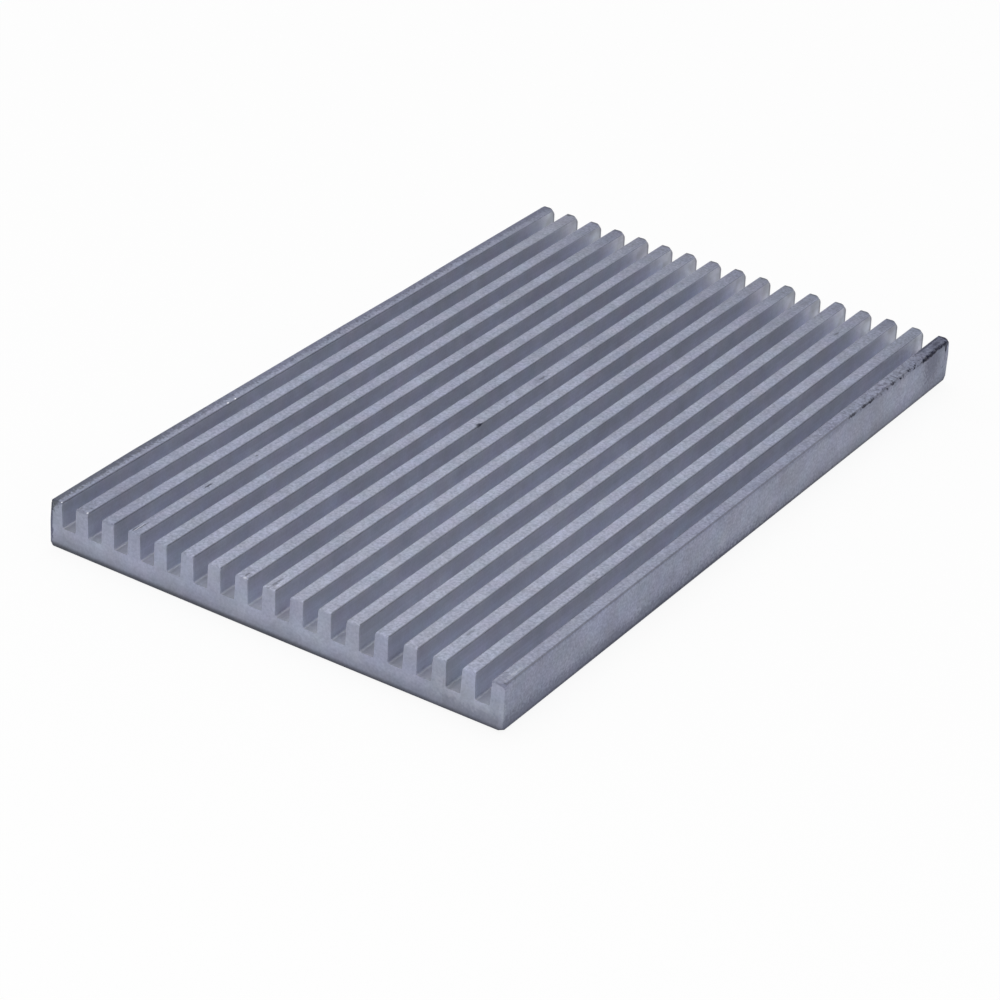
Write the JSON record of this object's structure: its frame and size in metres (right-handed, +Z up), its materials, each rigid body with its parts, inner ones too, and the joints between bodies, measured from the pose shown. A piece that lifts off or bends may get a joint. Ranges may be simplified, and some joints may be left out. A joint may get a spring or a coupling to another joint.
{
  "type": "extruded heat sink",
  "caption": "Low rectangular extruded aluminium heat sink: a flat base plate with a row of short straight fins running its whole length, open at both sawn ends.",
  "frame": {"origin": "middle of the flat underside, the face that takes the heat", "axes": "+Z up through the fins, +Y along the fins and the length, +X across the fins"},
  "size_m": [0.06, 0.1, 0.006],
  "materials": {
    "mill_aluminium": "mill finish, fine satin with a faint grain along the extrusion"
  },
  "bodies": {
    "root": {"heat_sink": "mill_aluminium"}
  },
  "joints": []
}
